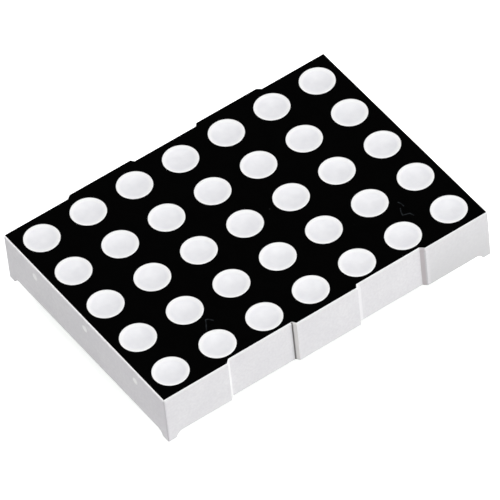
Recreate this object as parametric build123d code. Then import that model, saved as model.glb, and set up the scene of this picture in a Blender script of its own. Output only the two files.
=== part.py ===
from build123d import *
from math import radians, tan
import os

# LED dot matrix module: a white moulded housing with 35 reflector cups in five columns and seven rows.
# Each cup is cast full of diffused epoxy over one chip, and a black film with round windows covers the face.
# A circuit board closes the back and carries two rows of pins.
# Frame: X runs across the columns, Y along the rows and Z up to the face.
# The origin is at the centre of the pin pattern, on the plane under the corner feet.

# Sides of the cups and of the holes for the pins, which are cut as regular outlines
flat_sides = 8

# Dot grid
columns = 5
rows = 7
dot_pitch = 7.62
dot_diameter = 5.1

# Reflector cups, a little wider at the mouth than the round windows over them
cup_lap = 0.15
throat_width = 2.4

# Housing, short of the dot grid by the gap between two modules that stand side by side
module_gap = 0.1
total_height = 8.3
wall = 1.3
corner_radius = 0.2
face_bevel = 0.15
film_thickness = 0.1

# Corner feet, which stand below the rim of the four walls
foot_height = 0.9
foot_flat = 1.35
foot_run = 1.1

# Tongues on one long side, which enter the grooves of the next module
tongue_depth = 0.5
tongue_start = 5.05
tongue_end = 16.15
tongue_inner_run = 0.35
tongue_outer_run = 0.6
groove_clearance = 0.05

# Circuit board
board_thickness = 1.0
board_recess = 0.5
board_clearance = 0.1

# Chips and bond wires
chip_side = 0.3
chip_height = 0.2
wire_thickness = 0.04
wire_loop_height = 0.5
wire_apex_reach = 0.3
wire_span = 0.75

# Pins, one for each row and each column of dots
pin_rows = 2
pins_in_row = 6
pin_pitch = 2.54
pin_diameter = 0.5
pin_reach = 4.0

# A cut that opens to the outside runs past the piece by this much
overrun = 1.0

# Sizes and heights that follow from the values above, with each pin row midway between two rows of dots
housing_width = columns * dot_pitch - module_gap
housing_length = rows * dot_pitch - module_gap
pin_row_spacing = (rows - pin_rows) * dot_pitch
face_z = total_height - film_thickness
board_back_z = foot_height + board_recess
board_front_z = board_back_z + board_thickness
cavity_width = housing_width - 2 * wall
cavity_length = housing_length - 2 * wall
mouth_width = dot_diameter + 2 * cup_lap
standing = (Align.CENTER, Align.CENTER, Align.MIN)


def at_dots(piece):
    """One copy of a piece on each dot centre, column by column."""
    return [place * piece for place in GridLocations(dot_pitch, dot_pitch, columns, rows)]


def at_pins(piece):
    """One copy of a piece on each pin centre line."""
    return [place * piece for place in GridLocations(pin_pitch, pin_row_spacing, pins_in_row, pin_rows)]


def tongue_pair(depth, gap):
    """Two upright tongues with sloping ends, one each side of the middle, which stand out along +X."""
    near = tongue_start - gap
    far = tongue_end + gap
    outline = Polyline(
        (0, near),
        (depth, near + tongue_inner_run),
        (depth, far - tongue_outer_run),
        (0, far),
        close=True,
    )
    tongue = extrude(make_face(outline), amount=face_z)
    return tongue + mirror(tongue, about=Plane.XZ)


def outer_block():
    """Outer form of the housing: walls, tongues, grooves and the bevel round the face."""
    block = extrude(RectangleRounded(housing_width, housing_length, corner_radius), amount=face_z)
    side = housing_width / 2
    block += Pos(-side, 0, 0) * mirror(tongue_pair(tongue_depth, 0), about=Plane.YZ)
    groove_depth = tongue_depth + groove_clearance
    block -= Pos(side, 0, 0) * mirror(tongue_pair(groove_depth, groove_clearance), about=Plane.YZ)
    face = block.faces().sort_by(Axis.Z)[-1]
    return chamfer(face.edges(), face_bevel)


def rim_window(side_length, depth):
    """Space under the rim along X between two feet, with a hollow curve up from each foot."""
    foot_edge = side_length / 2 - foot_flat
    rim_end = foot_edge - foot_run
    half_outline = [
        Line((0, foot_height), (rim_end, foot_height)),
        TangentArc((rim_end, foot_height), (foot_edge, 0), tangent=(1, 0)),
        Line((foot_edge, 0), (foot_edge, -overrun)),
        Line((foot_edge, -overrun), (0, -overrun)),
    ]
    other_half = [mirror(edge, about=Plane.YZ) for edge in half_outline]
    profile = Plane.XZ * make_face(half_outline + other_half)
    return extrude(profile, amount=depth / 2 + overrun, both=True)


def octagon(width, z):
    """Corners of a regular outline with flat sides, by its width across the flats."""
    step = 360 / flat_sides
    corner = Vector(width / 2, width / 2 * tan(radians(step / 2)), z)
    return [corner.rotate(Axis.Z, step * turn) for turn in range(flat_sides)]


def cup():
    """Tapered space of one reflector cup, from its throat at the board to its mouth at the face."""
    throat = octagon(throat_width, board_front_z)
    mouth = octagon(mouth_width, face_z)
    outlines = [throat, mouth]
    for turn in range(flat_sides):
        outlines.append([throat[turn - 1], throat[turn], mouth[turn], mouth[turn - 1]])
    return Solid(Shell([Face(Wire.make_polygon(outline)) for outline in outlines]))


def reflector_housing(block):
    """Moulded housing: cups through the block, a shallow cavity for the board and four corner feet."""
    cavity = Box(cavity_width, cavity_length, board_front_z, align=standing)
    under_short_sides = rim_window(housing_width, housing_length)
    under_long_sides = Rot(0, 0, 90) * rim_window(housing_length, housing_width + 2 * tongue_depth)
    return block - [cavity, under_short_sides, under_long_sides] - at_dots(cup())


def face_film(block):
    """Black film on the flat of the face, inside the bevel, with a round window over each cup."""
    face = block.faces().sort_by(Axis.Z)[-1]
    window = Pos(0, 0, face_z) * Cylinder(dot_diameter / 2, film_thickness, align=standing)
    return extrude(face, amount=film_thickness) - at_dots(window)


def chip():
    """One chip, bonded to the front of the board at the centre of its cup."""
    return Pos(0, 0, board_front_z) * Box(chip_side, chip_side, chip_height, align=standing)


def bond_wire():
    """One bond wire, square in section, from the top of its chip over to the board."""
    half = wire_thickness / 2
    chip_top = board_front_z + chip_height
    apex = board_front_z + wire_loop_height
    outline = Polyline(
        (-half, chip_top),
        (wire_apex_reach, apex),
        (wire_span + half, board_front_z),
        (wire_span - half, board_front_z),
        (wire_apex_reach, apex - 2 * wire_thickness),
        (half, chip_top),
        close=True,
    )
    return extrude(Plane.XZ * make_face(outline), amount=half, both=True)


def chip_well():
    """Space in the epoxy that holds one chip and its wire loop."""
    half = chip_side / 2
    outline = Polyline(
        (-half, board_front_z),
        (-half, board_front_z + chip_height),
        (wire_apex_reach, board_front_z + wire_loop_height),
        (wire_span + wire_thickness / 2, board_front_z),
        close=True,
    )
    return extrude(Plane.XZ * make_face(outline), amount=half, both=True)


def dot():
    """Diffused epoxy cast in one cup, level with the face."""
    return cup() - chip_well()


def pin_tail():
    """Tail of one pin, pressed through the thickness of the board."""
    outline = Face(Wire.make_polygon(octagon(pin_diameter, board_back_z)))
    return extrude(outline, amount=board_thickness, dir=(0, 0, 1))


def circuit_board():
    """Flat board in the cavity, against the cups, with a hole for each pin."""
    width = cavity_width - 2 * board_clearance
    length = cavity_length - 2 * board_clearance
    blank = Pos(0, 0, board_back_z) * Box(width, length, board_thickness, align=standing)
    return blank - at_pins(pin_tail())


def pin():
    """One pin: its tail in the board and its round leg, which runs down past the feet."""
    leg = Pos(0, 0, -pin_reach) * Cylinder(pin_diameter / 2, pin_reach + board_back_z, align=standing)
    return leg + pin_tail()


def write(name, piece):
    """One STEP file for one named piece."""
    export_step(piece, os.path.join("parts", name + ".step"))


os.makedirs("parts", exist_ok=True)
block = outer_block()
write("reflector_housing", reflector_housing(block))
write("face_film", face_film(block))
for index, piece in enumerate(at_dots(dot())):
    write(f"dot_r{index % rows + 1}_c{index // rows + 1}", piece)
write("circuit_board", circuit_board())
write("led_chips", Compound(children=at_dots(chip())))
write("bond_wires", Compound(children=at_dots(bond_wire())))
for index, piece in enumerate(at_pins(pin())):
    write(f"pin_{index + 1:02d}", piece)
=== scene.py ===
import math

import bmesh
import bpy
from mathutils import Matrix, Vector


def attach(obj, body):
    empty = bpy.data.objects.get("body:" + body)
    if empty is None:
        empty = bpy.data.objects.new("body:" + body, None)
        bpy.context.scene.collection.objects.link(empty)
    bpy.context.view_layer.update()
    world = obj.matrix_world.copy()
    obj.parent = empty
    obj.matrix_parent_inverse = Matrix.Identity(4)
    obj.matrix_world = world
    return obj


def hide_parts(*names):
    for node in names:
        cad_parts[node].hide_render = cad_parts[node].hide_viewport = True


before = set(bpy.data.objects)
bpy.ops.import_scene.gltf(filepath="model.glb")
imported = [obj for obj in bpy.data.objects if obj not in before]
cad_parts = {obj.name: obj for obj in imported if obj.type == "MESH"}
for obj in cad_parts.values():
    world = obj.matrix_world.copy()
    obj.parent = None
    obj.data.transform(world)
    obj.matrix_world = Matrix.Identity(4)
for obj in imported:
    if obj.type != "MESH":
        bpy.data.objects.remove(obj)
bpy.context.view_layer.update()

# LED dot matrix module on a pale studio floor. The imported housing, film, board, chips, wires and pins keep
# their meshes and get their finishes here. The epoxy in the cups, the solder, the via rings and the copper
# tracks are made here. Lengths are in millimetres, and MM turns them to metres.
MM = 0.001

COLUMNS = 5
ROWS = 7
DOT_PITCH = 7.62
DOT_RADIUS = 2.55
PIN_ROWS = 2
PINS_IN_ROW = 6
PIN_PITCH = 2.54
PIN_ROW_SPACING = 38.1
PIN_RADIUS = 0.25

# Heights above the plane under the corner feet
PIN_TIP_Z = -4.0
BOARD_BACK_Z = 1.4
BOARD_FRONT_Z = 2.4
FILM_UNDER_Z = 8.2
FACE_Z = 8.3

# Sides of the housing, and how far in from each its painted shade and highlights reach
SHORT_SIDE_Y = -26.62
SHORT_SIDE_SKIN = 0.3
LONG_SIDE_X = 19.0
LONG_SIDE_SKIN = 1.0

# Painted light on the housing: depths below the face of the bevel and of its edge, both painted pale as
# highlights, where the painted shade of the short side turns mauve along X, and where the painted shade on
# the far end of the long side starts
BEVEL_DEPTH = 0.25
EDGE_HIGHLIGHT_DEPTH = 0.14
MAUVE_SHADE_START_X = -10.0
MAUVE_SHADE_END_X = 18.0
FAR_END_SHADE_Y = 16.5

# Ejector pips on the short side, three in a row below the face, each painted white as a highlight
PIP_SPACING = 11.9
PIP_ROW_MIDDLE = 0.17
PIP_ROW_REACH = 15.0
PIP_DROP = 2.15
PIP_CORE_RADIUS = 0.46
PIP_RADIUS = 0.64

# Painted shade and highlights on the flanks and inner corners of the grooves on the long side: the middle
# and the half width along Y, the X that the mark keeps under, and its colour. Painted shade darkens one
# inner corner and one flank, and painted highlights lighten the rest.
GROOVE_SHADE_AND_HIGHLIGHTS = [
    (-15.90, 0.30, 19.10, "#EAE9EA"),
    (-5.14, 0.16, 19.10, "#F5F2F1"),
    (-5.40, 0.10, 18.60, "#615D5E"),
    (5.57, 0.22, 18.60, "#ECEBED"),
    (15.90, 0.30, 18.86, "#D4CDD0"),
]

# Half the soft border of each of these marks, across it and on its outside
MARK_BORDER_Y = 0.04
MARK_BORDER_X = 0.05

# Lint on the face: the bends of three short fibres
FIBRE_WIDTH = 0.15
FIBRES = [
    [(11.49, -13.30), (10.93, -13.69), (10.75, -14.05), (11.58, -14.52), (12.36, -15.02)],
    [(9.90, 18.28), (10.34, 18.46), (10.94, 18.47)],
    [(10.99, 17.87), (11.59, 17.55), (12.20, 17.38), (12.38, 17.94), (12.54, 18.34), (13.14, 18.54)],
]

# Via rings and copper tracks on the back of the board
VIA_OFFSET = 1.9
TRACK_WIDTH = 0.5
COPPER_THICKNESS = 0.04
TRACK_BEND = 0.9

# Noise keeps near its middle, and this stretch of it is spread over the whole range
NOISE_SPAN = {"From Min": 0.3, "From Max": 0.7}

# A corner sharper than this stays sharp on a smooth piece
SHARP_ANGLE = math.radians(40)

# Lamps: the direction each stands in, its distance and its side in metres, and its power in watts
LAMPS = {
    "key_softbox": ((0.62, 0.68, 0.30), 1.2, 0.5, 9.3),
    "front_softbox": ((0.04, -0.13, 0.99), 1.2, 0.5, 5.3),
    "edge_softbox": ((-0.58, -0.74, 0.34), 1.2, 0.25, 0.95),
    "back_softbox": ((-0.40, 0.27, 0.87), 1.0, 0.36, 1.1),
}

# Camera, with its angles in degrees, and the point on the face that it aims at
CAMERA_AZIMUTH = 59.612
CAMERA_ELEVATION = 47.902
CAMERA_ROLL = 6.507
CAMERA_AIM = (4.321, -2.243, FACE_Z)
CAMERA_DISTANCE = 996.81
FOCAL_LENGTH = 535.11


# Colours, nodes and materials

def linear(code):
    """The linear colour of an sRGB hex value."""
    shares = [int(code[k:k + 2], 16) / 255 for k in (1, 3, 5)]
    return [c / 12.92 if c <= 0.04045 else ((c + 0.055) / 1.055) ** 2.4 for c in shares] + [1.0]


def per_metre(size):
    """Scale of a pattern on Object coordinates whose features have this size."""
    return 1 / (size * MM)


def add(tree, kind, inputs=None, **settings):
    """Adds one node with its settings. An input is a value, or a node or socket to link. None leaves it."""
    made = tree.nodes.new(kind)
    for name, value in settings.items():
        setattr(made, name, value)
    for key, value in (inputs or {}).items():
        named = [socket for socket in made.inputs if socket.name == key and socket.enabled]
        socket = named[0] if named else made.inputs[key]
        if isinstance(value, bpy.types.Node):
            value = next(output for output in value.outputs if output.enabled)
        if isinstance(value, bpy.types.NodeSocket):
            tree.links.new(value, socket)
        elif value is not None:
            socket.default_value = value
    return made


def blank_material(name):
    """A material with an empty tree, and the Object coordinates that its patterns follow."""
    material = bpy.data.materials.new(name)
    material.use_nodes = True
    tree = material.node_tree
    tree.nodes.clear()
    return material, tree, add(tree, "ShaderNodeTexCoord").outputs["Object"]


def finished(material, looks):
    """The material with its shader. Even values go on the shader's own sockets, and patterns are linked."""
    shader = add(material.node_tree, "ShaderNodeBsdfPrincipled", looks)
    add(material.node_tree, "ShaderNodeOutputMaterial", {"Surface": shader})
    return material


def ejector_pips(tree, place, x, on_short_side):
    """1 on the pips of the short side, which repeat along X, and 0 elsewhere."""
    middle, half = PIP_ROW_MIDDLE * MM, PIP_SPACING / 2 * MM
    cell = add(tree, "ShaderNodeVectorMath", {0: place, 1: [middle + half, 1, 1],
                                              2: [middle - half, -1, -1]}, operation="WRAP")
    off = add(tree, "ShaderNodeVectorMath", {0: cell, 1: [middle, 0, (FACE_Z - PIP_DROP) * MM]},
              operation="SUBTRACT")
    flat = add(tree, "ShaderNodeVectorMath", {0: off, 1: [1, 0, 1]}, operation="MULTIPLY")
    away = add(tree, "ShaderNodeVectorMath", {0: flat}, operation="LENGTH")
    pip = add(tree, "ShaderNodeMapRange", {"Value": away, "From Min": PIP_CORE_RADIUS * MM,
                                           "From Max": PIP_RADIUS * MM, "To Min": 1.0, "To Max": 0.0})
    reach = add(tree, "ShaderNodeMath", {0: x}, operation="ABSOLUTE")
    in_row = add(tree, "ShaderNodeMath", {0: reach, 1: PIP_ROW_REACH * MM}, operation="LESS_THAN")
    shown = add(tree, "ShaderNodeMath", {0: pip, 1: on_short_side}, operation="MULTIPLY")
    return add(tree, "ShaderNodeMath", {0: shown, 1: in_row}, operation="MULTIPLY")


def white_moulded_polycarbonate():
    """Housing: pigmented polycarbonate from a spark-eroded mould, an even milky white with a satin sheen and
    faint flow clouds. The real grain is about 0.03 mm, and is drawn at 0.25 and 0.45 mm so that it shows."""
    material, tree, place = blank_material("white_moulded_polycarbonate")
    clouds = add(tree, "ShaderNodeTexNoise", {"Vector": place, "Scale": per_metre(5.0), "Detail": 3.0})
    clouds = add(tree, "ShaderNodeMapRange", {"Value": clouds, **NOISE_SPAN})
    mottle = add(tree, "ShaderNodeTexNoise", {"Vector": place, "Scale": per_metre(0.45), "Detail": 3.0,
                                              "Roughness": 0.65})
    mottle = add(tree, "ShaderNodeMapRange", {"Value": mottle, "From Min": 0.35, "From Max": 0.65,
                                              "To Max": 0.5})

    # Painted shade turns the short side a trace mauve and darker towards the corner, and a white painted
    # highlight lies along its thin upper edge. Painted shade makes the far end of the long side duller
    # towards its foot.
    axes = add(tree, "ShaderNodeSeparateXYZ", {"Vector": place})
    x, y, z = (axes.outputs[axis] for axis in "XYZ")
    on_short_side = add(tree, "ShaderNodeMath", {0: y, 1: (SHORT_SIDE_Y + SHORT_SIDE_SKIN) * MM},
                        operation="LESS_THAN")
    on_long_side = add(tree, "ShaderNodeMath", {0: x, 1: (LONG_SIDE_X - LONG_SIDE_SKIN) * MM},
                       operation="GREATER_THAN")
    mauve_painted_shade = add(tree, "ShaderNodeMapRange", {"Value": x, "From Min": MAUVE_SHADE_START_X * MM,
                                             "From Max": MAUVE_SHADE_END_X * MM, "To Min": 0.07, "To Max": 0.18})
    pips = ejector_pips(tree, place, x, on_short_side)
    bevel, painted_edge_highlight, painted_far_end_shade = (
        add(tree, "ShaderNodeMapRange", {"Value": along, "From Min": (start - softness) * MM,
                                         "From Max": (start + softness) * MM})
        for along, start, softness in ((z, FACE_Z - BEVEL_DEPTH, 0.01), (z, FACE_Z - EDGE_HIGHLIGHT_DEPTH, 0.03),
                                       (y, FAR_END_SHADE_Y, 0.3)))
    painted_far_end_shade = add(tree, "ShaderNodeMath", {0: painted_far_end_shade, 1: on_long_side}, operation="MULTIPLY")
    towards_foot = add(tree, "ShaderNodeMapRange", {"Value": z, "From Min": FACE_Z * MM, "From Max": 0.0,
                                                    "To Min": 0.2, "To Max": 0.85})

    # Each tint has its share, where it lies and its colour. Past the mottle, each is painted shade or
    # painted highlight.
    tints_and_painted_light = [
        (mottle, 1.0, "#D5D3D7"),
        # painted shade: the short side darker and mauve towards the corner
        (mauve_painted_shade, on_short_side, "#BFB5C3"),
        # painted highlight: the pips white
        (pips, 1.0, "#FFFFFF"),
        # painted highlight: the bevel a shade paler all round
        (bevel, 1.0, "#E9E9EA"),
        # painted highlight: white along the thin upper edge of the short side
        (painted_edge_highlight, on_short_side, "#FFFFFF"),
        # painted shade: the far end of the long side darker towards its foot
        (painted_far_end_shade, towards_foot, "#C7C7C8"),
    ]
    # Painted shade in one inner corner and on one flank of the grooves, and painted highlights on the other
    # flanks
    for middle_y, half_width, out_x, code in GROOVE_SHADE_AND_HIGHLIGHTS:
        off = add(tree, "ShaderNodeMath", {0: y, 1: middle_y * MM}, operation="SUBTRACT")
        off = add(tree, "ShaderNodeMath", {0: off}, operation="ABSOLUTE")
        band = add(tree, "ShaderNodeMapRange", {"Value": off, "From Min": (half_width - MARK_BORDER_Y) * MM,
                                                "From Max": (half_width + MARK_BORDER_Y) * MM,
                                                "To Min": 1.0, "To Max": 0.0})
        sunk = add(tree, "ShaderNodeMapRange", {"Value": x, "From Min": (out_x - MARK_BORDER_X) * MM,
                                                "From Max": (out_x + MARK_BORDER_X) * MM,
                                                "To Min": 1.0, "To Max": 0.0})
        band = add(tree, "ShaderNodeMath", {0: band, 1: sunk}, operation="MULTIPLY")
        tints_and_painted_light.append((band, on_long_side, code))
    tone = add(tree, "ShaderNodeMix", {"Factor": clouds, "A": linear("#DFDEE1"), "B": linear("#E7E6E8")},
               data_type="RGBA")
    for share, where, code in tints_and_painted_light:
        share = add(tree, "ShaderNodeMath", {0: share, 1: where}, operation="MULTIPLY")
        tone = add(tree, "ShaderNodeMix", {"Factor": share, "A": tone, "B": linear(code)}, data_type="RGBA")

    # The mould is polished on the bevel, the walls sink a little, and the pips stand a little proud
    grain = add(tree, "ShaderNodeTexNoise", {"Vector": place, "Scale": per_metre(0.25), "Detail": 3.0})
    unpolished = add(tree, "ShaderNodeMath", {0: 1.0, 1: bevel}, operation="SUBTRACT")
    grain = add(tree, "ShaderNodeMath", {0: grain, 1: unpolished}, operation="MULTIPLY")
    sink = add(tree, "ShaderNodeTexNoise", {"Vector": place, "Scale": per_metre(9.0), "Detail": 1.0})
    normal = None
    for height, depth in ((grain, 0.008), (sink, 0.03), (pips, 0.04)):
        normal = add(tree, "ShaderNodeBump", {"Height": height, "Distance": depth * MM, "Normal": normal})
    satin = add(tree, "ShaderNodeTexNoise", {"Vector": place, "Scale": per_metre(1.5)})
    satin = add(tree, "ShaderNodeMapRange", {"Value": satin, **NOISE_SPAN, "To Min": 0.4, "To Max": 0.5})
    sheen = add(tree, "ShaderNodeMapRange", {"Value": bevel, "To Min": satin, "To Max": 0.14})
    return finished(material, {"Base Color": tone, "Roughness": sheen, "Normal": normal, "IOR": 1.585})


def on_stroke(tree, place, start, end, width):
    """1 on a straight stroke across the face from one point to another, and 0 past its width."""
    run = Vector((end[0] - start[0], end[1] - start[1], 0)) * MM
    level = add(tree, "ShaderNodeVectorMath", {0: place, 1: [1, 1, 0]}, operation="MULTIPLY")
    rest = add(tree, "ShaderNodeVectorMath", {0: level, 1: [start[0] * MM, start[1] * MM, 0]},
               operation="SUBTRACT")
    along = add(tree, "ShaderNodeVectorMath", {0: rest, 1: run / run.length_squared},
                operation="DOT_PRODUCT")
    held = add(tree, "ShaderNodeMapRange", {"Value": along})
    nearest = add(tree, "ShaderNodeVectorMath", {0: run, "Scale": held}, operation="SCALE")
    off = add(tree, "ShaderNodeVectorMath", {0: rest, 1: nearest}, operation="DISTANCE")
    return add(tree, "ShaderNodeMapRange", {"Value": off, "From Min": 0.25 * width * MM,
                                            "From Max": 0.75 * width * MM, "To Min": 1.0, "To Max": 0.0})


def black_polyester_film():
    """Face film: polyester printed dense black, so matt and deep that only a trace of dust and lint shows.
    Its specular level is far lower than is usual, to match the photograph. The grain of the ink is finer
    than 0.02 mm, and is drawn at 0.08 mm so that it shows from near by."""
    material, tree, place = blank_material("black_polyester_film")
    cloud = add(tree, "ShaderNodeTexNoise", {"Vector": place, "Scale": per_metre(2.0), "Detail": 4.0})
    ground = add(tree, "ShaderNodeMix", {"Factor": cloud, "A": linear("#000000"), "B": linear("#020202")},
                 data_type="RGBA")

    # Dust: fine specks, at most one in each cell of 3.2 mm
    dust = add(tree, "ShaderNodeTexVoronoi", {"Vector": place, "Scale": per_metre(3.2)})
    speck = add(tree, "ShaderNodeMapRange", {"Value": dust.outputs["Distance"], "From Min": 0.02,
                                             "From Max": 0.05, "To Min": 1.0, "To Max": 0.0})
    chance = add(tree, "ShaderNodeSeparateColor", {"Color": dust.outputs["Color"]})
    some = add(tree, "ShaderNodeMath", {0: chance, 1: 0.72}, operation="GREATER_THAN")
    speck = add(tree, "ShaderNodeMath", {0: speck, 1: some}, operation="MULTIPLY")
    ground = add(tree, "ShaderNodeMix", {"Factor": speck, "A": ground, "B": linear("#1C1C1D")},
                 data_type="RGBA")

    # Lint: thin fibres that fade in and out
    lint = 0.0
    for fibre in FIBRES:
        for start, end in zip(fibre, fibre[1:]):
            stroke = on_stroke(tree, place, start, end, FIBRE_WIDTH)
            lint = add(tree, "ShaderNodeMath", {0: lint, 1: stroke}, operation="MAXIMUM")
    fade = add(tree, "ShaderNodeTexNoise", {"Vector": place, "Scale": per_metre(0.7)})
    fade = add(tree, "ShaderNodeMapRange", {"Value": fade, "From Min": 0.35, "From Max": 0.65,
                                            "To Min": 0.35})
    lint = add(tree, "ShaderNodeMath", {0: lint, 1: fade}, operation="MULTIPLY")
    ground = add(tree, "ShaderNodeMix", {"Factor": lint, "A": ground, "B": linear("#2C2F32")},
                 data_type="RGBA")

    # The black is printed on top only, so the cut edges keep the milky colour of the film
    ink_depth, ink_full_depth = 0.02, 0.005
    height = add(tree, "ShaderNodeSeparateXYZ", {"Vector": place}).outputs["Z"]
    printed = add(tree, "ShaderNodeMapRange", {"Value": height, "From Min": (FACE_Z - ink_depth) * MM,
                                               "From Max": (FACE_Z - ink_full_depth) * MM})
    tone = add(tree, "ShaderNodeMix", {"Factor": printed, "A": linear("#F4F4F4"), "B": ground},
               data_type="RGBA")
    matt = add(tree, "ShaderNodeTexNoise", {"Vector": place, "Scale": per_metre(0.3)})
    matt = add(tree, "ShaderNodeMapRange", {"Value": matt, **NOISE_SPAN, "To Min": 0.5, "To Max": 0.62})
    grain = add(tree, "ShaderNodeTexNoise", {"Vector": place, "Scale": per_metre(0.08)})
    normal = add(tree, "ShaderNodeBump", {"Height": grain, "Distance": 0.001 * MM})
    return finished(material, {"Base Color": tone, "Roughness": matt, "Normal": normal, "IOR": 1.64,
                               "Specular IOR Level": 0.004})


def diffused_epoxy():
    """Dots: epoxy clouded with a white diffusant, cast and cured in the cups, milky and softly glossy,
    whitest at the rim, partly where the cup wall stands close under it and partly as a painted highlight
    ring."""
    material, tree, place = blank_material("diffused_epoxy")
    cloud = add(tree, "ShaderNodeTexNoise", {"Vector": place, "Scale": per_metre(1.6), "Detail": 3.0})
    cloud = add(tree, "ShaderNodeMapRange", {"Value": cloud, **NOISE_SPAN})
    milk = add(tree, "ShaderNodeMix", {"Factor": cloud, "A": linear("#E4E4E8"), "B": linear("#EBEBEE")},
               data_type="RGBA")

    # The rim, whiter partly from the cup wall under it and partly as a painted highlight, is known by the
    # distance from the middle of the nearest dot
    rim_start_share, rim_full_share = 0.72, 0.95
    half = DOT_PITCH / 2 * MM
    cell = add(tree, "ShaderNodeVectorMath", {0: place, 1: [half, half, 1], 2: [-half, -half, -1]},
               operation="WRAP")
    flat = add(tree, "ShaderNodeVectorMath", {0: cell, 1: [1, 1, 0]}, operation="MULTIPLY")
    away = add(tree, "ShaderNodeVectorMath", {0: flat}, operation="LENGTH")
    rim = add(tree, "ShaderNodeMapRange", {"Value": away, "From Min": rim_start_share * DOT_RADIUS * MM,
                                           "From Max": rim_full_share * DOT_RADIUS * MM})
    tone = add(tree, "ShaderNodeMix", {"Factor": rim, "A": milk, "B": linear("#F8F8F8")}, data_type="RGBA")
    gloss = add(tree, "ShaderNodeTexNoise", {"Vector": place, "Scale": per_metre(0.9)})
    gloss = add(tree, "ShaderNodeMapRange", {"Value": gloss, **NOISE_SPAN, "To Min": 0.2, "To Max": 0.27})
    flow = add(tree, "ShaderNodeTexNoise", {"Vector": place, "Scale": per_metre(1.1), "Detail": 1.0})
    normal = add(tree, "ShaderNodeBump", {"Height": flow, "Distance": 0.02 * MM})
    return finished(material, {"Base Color": tone, "Roughness": gloss, "Normal": normal, "IOR": 1.55,
                               "Subsurface Weight": 0.12, "Subsurface Radius": [0.6, 0.6, 0.6],
                               "Subsurface Scale": 0.5 * MM})


def green_solder_mask(name, pale, deep):
    """Board and tracks: glass laminate under a green solder mask, a thin glossy coat with a slight orange
    peel, paler over copper. The glass cloth, with a thread every 0.6 mm, shows through as a faint weave."""
    material, tree, place = blank_material(name)
    thread_spacing = 0.6

    # The wave pattern has this many bands in each unit of its scale
    bands_in_unit = 20 / math.tau
    weave_scale = per_metre(thread_spacing * bands_in_unit)
    weave = [add(tree, "ShaderNodeTexWave", {"Vector": place, "Scale": weave_scale, "Distortion": 1.5,
                                             "Detail": 1.0}, bands_direction=axis) for axis in "XY"]
    cloth = add(tree, "ShaderNodeMath", {0: weave[0].outputs["Fac"], 1: weave[1].outputs["Fac"]},
                operation="MULTIPLY")
    cloth = add(tree, "ShaderNodeMath", {0: cloth, 1: 0.35}, operation="MULTIPLY")
    cloud = add(tree, "ShaderNodeTexNoise", {"Vector": place, "Scale": per_metre(4.0), "Detail": 3.0})
    shade = add(tree, "ShaderNodeMath", {0: cloth, 1: cloud}, operation="ADD")
    shade = add(tree, "ShaderNodeMapRange", {"Value": shade, "From Min": 0.3, "From Max": 0.9})
    tone = add(tree, "ShaderNodeMix", {"Factor": shade, "A": linear(deep), "B": linear(pale)},
               data_type="RGBA")
    gloss = add(tree, "ShaderNodeTexNoise", {"Vector": place, "Scale": per_metre(1.0)})
    gloss = add(tree, "ShaderNodeMapRange", {"Value": gloss, **NOISE_SPAN, "To Min": 0.3, "To Max": 0.42})
    peel = add(tree, "ShaderNodeTexNoise", {"Vector": place, "Scale": per_metre(0.5)})
    normal = add(tree, "ShaderNodeBump", {"Height": peel, "Distance": 0.008 * MM})
    return finished(material, {"Base Color": tone, "Roughness": gloss, "Normal": normal, "IOR": 1.52,
                               "Specular IOR Level": 0.35, "Coat Weight": 0.1, "Coat Roughness": 0.2})


def drawn_metal(name, duller, brighter, smoothest, roughest, mark_spacing, mark_depth):
    """Metal with fine marks along Z, which stretch its highlights."""
    material, tree, place = blank_material(name)
    bloom = add(tree, "ShaderNodeTexNoise", {"Vector": place, "Scale": per_metre(0.8)})
    bloom = add(tree, "ShaderNodeMapRange", {"Value": bloom, **NOISE_SPAN})
    tone = add(tree, "ShaderNodeMix", {"Factor": bloom, "A": linear(duller), "B": linear(brighter)},
               data_type="RGBA")
    stretched = add(tree, "ShaderNodeMapping", {"Vector": place, "Scale": [1, 1, 0.05]})
    marks = add(tree, "ShaderNodeTexNoise", {"Vector": stretched, "Scale": per_metre(mark_spacing),
                                             "Detail": 3.0})
    satin = add(tree, "ShaderNodeMapRange", {"Value": marks, **NOISE_SPAN, "To Min": smoothest,
                                             "To Max": roughest})
    normal = add(tree, "ShaderNodeBump", {"Height": marks, "Distance": mark_depth * MM})
    return finished(material, {"Base Color": tone, "Roughness": satin, "Normal": normal, "Metallic": 1.0})


def tinned_copper_wire():
    """Pins: drawn copper wire dipped in tin, bright grey with soft draw lines and a slightly dull bloom.
    Real draw lines are about 0.01 mm apart, and are drawn at 0.12 mm so that they show."""
    return drawn_metal("tinned_copper_wire", "#C9C8C2", "#DDDCD8", smoothest=0.2, roughest=0.34,
                       mark_spacing=0.12, mark_depth=0.004)


def drawn_gold_wire():
    """Bond wires: fine gold wire, drawn smooth, warm yellow. Its lines are far finer than the wire, and are
    drawn at 0.03 mm so that they show from near by."""
    return drawn_metal("drawn_gold_wire", "#E0B25A", "#EBC474", smoothest=0.15, roughest=0.25,
                       mark_spacing=0.03, mark_depth=0.0005)


def sawn_gallium_phosphide():
    """Chips: a dark amber crystal with matt sawn sides. The saw leaves a grit of about 0.01 mm, and it is
    drawn at 0.03 mm so that it shows from near by."""
    material, tree, place = blank_material("sawn_gallium_phosphide")
    cloud = add(tree, "ShaderNodeTexNoise", {"Vector": place, "Scale": per_metre(0.08)})
    tone = add(tree, "ShaderNodeMix", {"Factor": cloud, "A": linear("#8A6A2C"), "B": linear("#B08A3E")},
               data_type="RGBA")
    grit = add(tree, "ShaderNodeTexNoise", {"Vector": place, "Scale": per_metre(0.03)})
    matt = add(tree, "ShaderNodeMapRange", {"Value": grit, **NOISE_SPAN, "To Min": 0.4, "To Max": 0.6})
    return finished(material, {"Base Color": tone, "Roughness": matt, "IOR": 3.3})


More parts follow.
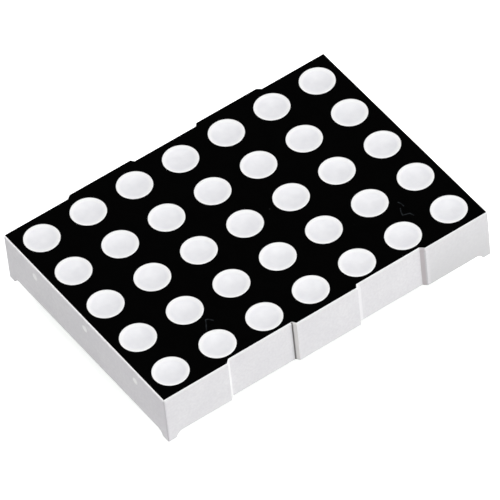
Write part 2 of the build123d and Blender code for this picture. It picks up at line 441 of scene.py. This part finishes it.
def tin_solder():
    """Joints and via rings: tin solder that froze from a melt, bright, with a soft frost of crystals."""
    material, tree, place = blank_material("tin_solder")
    frost = add(tree, "ShaderNodeTexNoise", {"Vector": place, "Scale": per_metre(0.35), "Detail": 4.0,
                                             "Roughness": 0.6})
    pale = add(tree, "ShaderNodeMapRange", {"Value": frost, **NOISE_SPAN})
    tone = add(tree, "ShaderNodeMix", {"Factor": pale, "A": linear("#B9B9B6"), "B": linear("#DADAD6")},
               data_type="RGBA")
    satin = add(tree, "ShaderNodeMapRange", {"Value": frost, **NOISE_SPAN, "To Min": 0.18, "To Max": 0.42})
    normal = add(tree, "ShaderNodeBump", {"Height": frost, "Distance": 0.01 * MM})
    return finished(material, {"Base Color": tone, "Roughness": satin, "Normal": normal, "Metallic": 1.0})


# Meshes and Geometry Nodes

def placed(name, data):
    """A new object of the scene that holds a mesh, a lamp or a camera."""
    made = bpy.data.objects.new(name, data)
    bpy.context.scene.collection.objects.link(made)
    return made


def turned(name, outline, around):
    """A piece of revolution about Z. The outline runs down its section as radii and heights, and closes on
    itself, or goes from the axis back to the axis."""
    mesh = bmesh.new()
    turns = [math.tau * k / around for k in range(around)]
    rings = []
    for radius, z in outline:
        if radius == 0:
            rings.append([mesh.verts.new((0, 0, z * MM))] * around)
        else:
            r = radius * MM
            rings.append([mesh.verts.new((r * math.cos(t), r * math.sin(t), z * MM)) for t in turns])
    pairs = list(zip(rings, rings[1:]))
    if outline[0][0] > 0:
        pairs.append((rings[-1], rings[0]))
    for upper, lower in pairs:
        for k in range(around):
            corners = [upper[k], lower[k], lower[k - 1], upper[k - 1]]
            mesh.faces.new(list(dict.fromkeys(corners)))
    bmesh.ops.recalc_face_normals(mesh, faces=mesh.faces)
    data = bpy.data.meshes.new(name)
    mesh.to_mesh(data)
    mesh.free()
    return placed(name, data)


def node_group(name, sizes):
    """A Geometry Nodes tree with one named input for each size, and what those inputs give."""
    tree = bpy.data.node_groups.new(name, "GeometryNodeTree")
    tree.interface.new_socket("Geometry", in_out="INPUT", socket_type="NodeSocketGeometry")
    tree.interface.new_socket("Geometry", in_out="OUTPUT", socket_type="NodeSocketGeometry")
    for label, kind in sizes.items():
        tree.interface.new_socket(label, in_out="INPUT", socket_type=kind)
    return tree, add(tree, "NodeGroupInput").outputs


def grid_tree():
    """Repeats a piece on a grid about the origin. Each copy turns about Z by a seeded amount."""
    tree, given = node_group("repeat_on_grid", {
        "Columns": "NodeSocketInt", "Rows": "NodeSocketInt",
        "Column Pitch": "NodeSocketFloat", "Row Pitch": "NodeSocketFloat",
        "Turn": "NodeSocketFloat", "Seed": "NodeSocketInt", "Material": "NodeSocketMaterial"})
    sides = {}
    for side, count, pitch in (("Size X", "Columns", "Column Pitch"), ("Size Y", "Rows", "Row Pitch")):
        gaps = add(tree, "ShaderNodeMath", {0: given[count], 1: 1.0}, operation="SUBTRACT")
        sides[side] = add(tree, "ShaderNodeMath", {0: gaps, 1: given[pitch]}, operation="MULTIPLY")
    grid = add(tree, "GeometryNodeMeshGrid", {**sides, "Vertices X": given["Columns"],
                                              "Vertices Y": given["Rows"]})
    most = add(tree, "ShaderNodeCombineXYZ", {"Z": given["Turn"]})
    least = add(tree, "ShaderNodeVectorMath", {0: most, "Scale": -1.0}, operation="SCALE")
    turn = add(tree, "FunctionNodeRandomValue", {"Min": least, "Max": most, "Seed": given["Seed"]},
               data_type="FLOAT_VECTOR")
    copies = add(tree, "GeometryNodeInstanceOnPoints", {"Points": grid, "Instance": given["Geometry"],
                                                        "Rotation": turn})
    whole = add(tree, "GeometryNodeRealizeInstances", {"Geometry": copies})
    dressed = add(tree, "GeometryNodeSetMaterial", {"Geometry": whole, "Material": given["Material"]})
    add(tree, "NodeGroupOutput", {"Geometry": dressed})
    return tree


def ribbon_tree():
    """Lays a flat ribbon along each line of a piece, with its bends rounded."""
    tree, given = node_group("ribbon_on_lines", {
        "Width": "NodeSocketFloat", "Thickness": "NodeSocketFloat", "Bend Radius": "NodeSocketFloat",
        "Material": "NodeSocketMaterial"})
    lines = add(tree, "GeometryNodeMeshToCurve", {"Mesh": given["Geometry"]})
    rounded = add(tree, "GeometryNodeFilletCurve", {"Curve": lines, "Radius": given["Bend Radius"],
                                                    "Count": 5, "Limit Radius": True}, mode="POLY")
    level = add(tree, "GeometryNodeSetCurveNormal", {"Curve": rounded}, mode="Z_UP")
    section = add(tree, "GeometryNodeCurvePrimitiveQuadrilateral", {"Width": given["Width"],
                                                                   "Height": given["Thickness"]})
    ribbon = add(tree, "GeometryNodeCurveToMesh", {"Curve": level, "Profile Curve": section,
                                                   "Fill Caps": True})
    whole = add(tree, "GeometryNodeRealizeInstances", {"Geometry": ribbon})
    dressed = add(tree, "GeometryNodeSetMaterial", {"Geometry": whole, "Material": given["Material"]})
    add(tree, "NodeGroupOutput", {"Geometry": dressed})
    return tree


def grown(name, seed_piece, tree, smooth=False, **inputs):
    """The plain mesh that a tree makes of a piece, in its stead. A smooth one keeps its sharp corners."""
    modifier = seed_piece.modifiers.new(tree.name, "NODES")
    modifier.node_group = tree
    sockets = {item.name: item.identifier for item in tree.interface.items_tree if item.in_out == "INPUT"}
    for label, value in inputs.items():
        modifier[sockets[label.replace("_", " ")]] = value
    made = bpy.data.meshes.new_from_object(seed_piece.evaluated_get(bpy.context.evaluated_depsgraph_get()))
    made.name = name
    if smooth:
        made.shade_smooth()
        made.set_sharp_from_angle(angle=SHARP_ANGLE)
    else:
        made.shade_flat()
    bpy.data.objects.remove(seed_piece)
    return placed(name, made)


def line_piece(name, lines):
    """Lines through points, as edges of one mesh."""
    points, edges = [], []
    for line in lines:
        first = len(points)
        points += [[c * MM for c in point] for point in line]
        edges += [(first + k, first + k + 1) for k in range(len(line) - 1)]
    data = bpy.data.meshes.new(name)
    data.from_pydata(points, edges, [])
    return placed(name, data)


def on_module(piece, slot, *nodes):
    """The piece rides on the module, in place of the nodes that it stands for."""
    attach(piece, "root")
    if nodes:
        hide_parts(*nodes)


# Pieces of the module

def epoxy_dots(on_grid):
    """Cast epoxy in the 35 cups: it rises through each round window and its top sinks to a shallow dish."""
    dish_depth = 0.16
    dish_rings = 12
    dish_share = 0.985
    rim_share = 0.99
    rim_z = FACE_Z - 0.015
    corner_z = rim_z - 0.01
    window_gap = 0.004
    board_gap = 0.01
    mouth_radius = 2.68
    throat_radius = 1.19
    outline = []
    for k in range(dish_rings):
        share = k / dish_rings
        outline.append((DOT_RADIUS * dish_share * share, rim_z - dish_depth * (1 - share ** 2)))
    outline += [
        (DOT_RADIUS * rim_share, rim_z),
        (DOT_RADIUS - window_gap, corner_z),
        (DOT_RADIUS - window_gap, FILM_UNDER_Z - window_gap),
        (mouth_radius, FILM_UNDER_Z - window_gap),
        (throat_radius, BOARD_FRONT_Z + board_gap),
        (0, BOARD_FRONT_Z + board_gap),
    ]
    one = turned("epoxy_dot", outline, around=72)
    dots = grown("epoxy_dots", one, on_grid, smooth=True, Columns=COLUMNS, Rows=ROWS,
                 Column_Pitch=DOT_PITCH * MM, Row_Pitch=DOT_PITCH * MM, Turn=math.pi, Seed=7,
                 Material=diffused_epoxy())
    names = [f"dot_r{row}_c{column}" for row in range(1, ROWS + 1) for column in range(1, COLUMNS + 1)]
    on_module(dots, "diffused_epoxy", *names)


def solder_joints(on_grid, solder):
    """A joint round each pin: a round pad on the back of the board, and a hollow fillet down the pin."""
    pad_radius = 0.82
    fillet_radius = 0.74
    fillet_steps = 8
    fillet_tip_z = 0.35
    hollow = 0.8
    inner_radius = PIN_RADIUS - 0.02
    skin_radius = PIN_RADIUS + 0.01
    top_z = BOARD_BACK_Z - 0.001
    pad_z = BOARD_BACK_Z - 0.035
    outline = [(inner_radius, top_z), (pad_radius, top_z), (pad_radius, pad_z)]
    for k in range(fillet_steps + 1):
        turn = k / fillet_steps * math.pi / 2
        outline.append((fillet_radius + (skin_radius - fillet_radius) * math.sin(turn) ** hollow,
                        pad_z - (pad_z - fillet_tip_z) * (1 - math.cos(turn))))
    outline.append((inner_radius, fillet_tip_z))
    one = turned("solder_joint", outline, around=40)
    joints = grown("solder_joints", one, on_grid, smooth=True, Columns=PINS_IN_ROW, Rows=PIN_ROWS,
                   Column_Pitch=PIN_PITCH * MM, Row_Pitch=PIN_ROW_SPACING * MM, Turn=math.pi, Seed=3,
                   Material=solder)
    on_module(joints, "tinned_pin_metal")


def via_pads(on_grid, solder):
    """A small tinned ring beside each dot, where its lead comes through the board to the row's track."""
    ring_radius = 0.42
    hole_radius = 0.17
    slope = 0.03
    lip = 0.01
    ring_z = BOARD_BACK_Z - COPPER_THICKNESS
    outline = [(ring_radius, BOARD_BACK_Z), (ring_radius - slope, ring_z), (hole_radius + slope, ring_z),
               (hole_radius, BOARD_BACK_Z - lip), (hole_radius, BOARD_BACK_Z)]
    one = turned("via_pad", outline, around=28)
    for vertex in one.data.vertices:
        vertex.co.x += VIA_OFFSET * MM
    pads = grown("via_pads", one, on_grid, Columns=COLUMNS, Rows=ROWS, Column_Pitch=DOT_PITCH * MM,
                 Row_Pitch=DOT_PITCH * MM, Turn=0.0, Seed=0, Material=solder)
    on_module(pads, "tinned_pin_metal")


def board_tracks(on_lines):
    """Copper under the mask on the back of the board: a track for each row of dots, and one from its pin.
    The tracks from the pins lie a hair lower, so that no two faces are level where they meet."""
    pin_track_z = BOARD_BACK_Z - 0.015
    row_track_z = BOARD_BACK_Z - 0.010
    first_x = -(COLUMNS - 1) / 2 * DOT_PITCH
    last_x = -first_x + VIA_OFFSET
    edge_x = 16.6
    corner = 1.0
    lap = 2.0
    pin_y = PIN_ROW_SPACING / 2
    pins = [(k - (PINS_IN_ROW - 1) / 2) * PIN_PITCH for k in range(PINS_IN_ROW)]
    rows = {k: k * DOT_PITCH for k in range(-(ROWS // 2), ROWS // 2 + 1)}
    lines = [[(first_x, y, row_track_z), (last_x, y, row_track_z)] for y in rows.values()]
    routes = [
        [(pins[4], pin_y), (pins[4], rows[3])],
        [(pins[1], pin_y), (pins[1], rows[2])],
        [(pins[4], -pin_y), (pins[4], rows[-3])],
        [(pins[1], -pin_y), (pins[1], rows[-2])],
        [(pins[5], pin_y), (edge_x, pin_y), (edge_x, rows[1] + corner), (edge_x - corner, rows[1]),
         (last_x - lap, rows[1])],
        [(pins[5], -pin_y), (edge_x, -pin_y), (edge_x, rows[-1] - corner), (edge_x - corner, rows[-1]),
         (last_x - lap, rows[-1])],
        [(pins[0], pin_y), (-edge_x, pin_y), (-edge_x, rows[0] + corner), (-edge_x + corner, rows[0]),
         (first_x + lap, rows[0])],
    ]
    lines += [[(x, y, pin_track_z) for x, y in route] for route in routes]
    tracks = grown("board_tracks", line_piece("track_lines", lines), on_lines, Width=TRACK_WIDTH * MM,
                   Thickness=COPPER_THICKNESS * MM, Bend_Radius=TRACK_BEND * MM,
                   Material=green_solder_mask("green_mask_over_copper", "#3C8F50", "#2A7A3E"))
    on_module(tracks, "board_laminate")


# Studio

def seen_straight(tree):
    """1 for a ray of the camera, of a mirror or through glass, and 0 for light that falls on the object."""
    path = add(tree, "ShaderNodeLightPath").outputs
    mirrored = add(tree, "ShaderNodeMath", {0: path["Is Glossy Ray"], 1: path["Is Transmission Ray"]},
                   operation="MAXIMUM")
    return add(tree, "ShaderNodeMath", {0: path["Is Camera Ray"], 1: mirrored}, operation="MAXIMUM")


def studio_floor():
    """Pale matt floor under the pins. Only what looks at it straight or in a mirror sees the added white, so
    it keeps the shadow."""
    material, tree, place = blank_material("pale_matt_floor")
    cloud = add(tree, "ShaderNodeTexNoise", {"Vector": place, "Scale": per_metre(60.0)})
    tone = add(tree, "ShaderNodeMix", {"Factor": cloud, "A": linear("#E6E6E6"), "B": linear("#E9E9E9")},
               data_type="RGBA")
    paint = add(tree, "ShaderNodeBsdfPrincipled", {"Base Color": tone, "Roughness": 0.9,
                                                   "Specular IOR Level": 0.1})
    added_white = 0.78
    added = add(tree, "ShaderNodeMath", {0: seen_straight(tree), 1: added_white}, operation="MULTIPLY")
    white = add(tree, "ShaderNodeEmission", {"Color": linear("#FFFFFF"), "Strength": added})
    both = add(tree, "ShaderNodeAddShader", {0: paint, 1: white})
    add(tree, "ShaderNodeOutputMaterial", {"Surface": both})
    half = 1500 * MM
    corners = [(x * half, y * half, PIN_TIP_Z * MM) for x, y in ((-1, -1), (1, -1), (1, 1), (-1, 1))]
    data = bpy.data.meshes.new("studio_floor")
    data.from_pydata(corners, [], [(0, 1, 2, 3)])
    data.materials.append(material)
    floor = placed("studio_floor", data)


def studio_world():
    """Even white all round: plain light on the object, and white where it is seen straight."""
    world = bpy.data.worlds.new("studio_world")
    bpy.context.scene.world = world
    world.use_nodes = True
    tree = world.node_tree
    tree.nodes.clear()
    light_on_object = 0.3
    strength = add(tree, "ShaderNodeMapRange", {"Value": seen_straight(tree), "To Min": light_on_object})
    light = add(tree, "ShaderNodeBackground", {"Color": linear("#FFFFFF"), "Strength": strength})
    add(tree, "ShaderNodeOutputWorld", {"Surface": light})


def softbox(name, direction, distance, side, power):
    """Square lamp that stands off from the module in one direction and looks at it."""
    lamp = bpy.data.lights.new(name, "AREA")
    lamp.shape = "SQUARE"
    lamp.size = side
    lamp.energy = power
    stand = placed(name, lamp)
    towards = Vector(direction).normalized()
    stand.location = towards * distance
    stand.rotation_mode = "QUATERNION"
    stand.rotation_quaternion = towards.to_track_quat("Z", "Y")


def studio_camera():
    """Long lens that looks down at a corner of the face, turned a little about its own axis."""
    azimuth, elevation, roll = (math.radians(a) for a in (CAMERA_AZIMUTH, CAMERA_ELEVATION, CAMERA_ROLL))
    back = Vector((math.sin(azimuth) * math.cos(elevation), -math.cos(azimuth) * math.cos(elevation),
                   math.sin(elevation)))
    level_right = Vector((0, 0, 1)).cross(back).normalized()
    level_up = back.cross(level_right)
    up = level_up * math.cos(roll) + level_right * math.sin(roll)
    right = up.cross(back)
    lens = bpy.data.cameras.new("studio_camera")
    lens.sensor_width = 36.0
    lens.lens = FOCAL_LENGTH
    lens.clip_start = 0.05
    lens.clip_end = 20.0
    camera = placed("studio_camera", lens)
    camera.location = (Vector(CAMERA_AIM) + back * CAMERA_DISTANCE) * MM
    camera.rotation_mode = "QUATERNION"
    camera.rotation_quaternion = Matrix((right, up, back)).transposed().to_quaternion()
    bpy.context.scene.camera = camera


# Making

finishes = {
    "reflector_housing": white_moulded_polycarbonate(),
    "face_film": black_polyester_film(),
    "circuit_board": green_solder_mask("green_mask_over_laminate", "#1C6032", "#144C26"),
    "led_chips": sawn_gallium_phosphide(),
    "bond_wires": drawn_gold_wire(),
}
pin_finish = tinned_copper_wire()
for name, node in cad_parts.items():
    finish = pin_finish if name.startswith("pin_") else finishes.get(name)
    if finish:
        node.data.materials.clear()
        node.data.materials.append(finish)

on_grid = grid_tree()
on_lines = ribbon_tree()
solder = tin_solder()
epoxy_dots(on_grid)
solder_joints(on_grid, solder)
via_pads(on_grid, solder)
board_tracks(on_lines)

studio_floor()
studio_world()
for name, (direction, distance, side, power) in LAMPS.items():
    softbox(name, direction, distance, side, power)
bpy.context.scene.view_settings.view_transform = "Standard"
studio_camera()
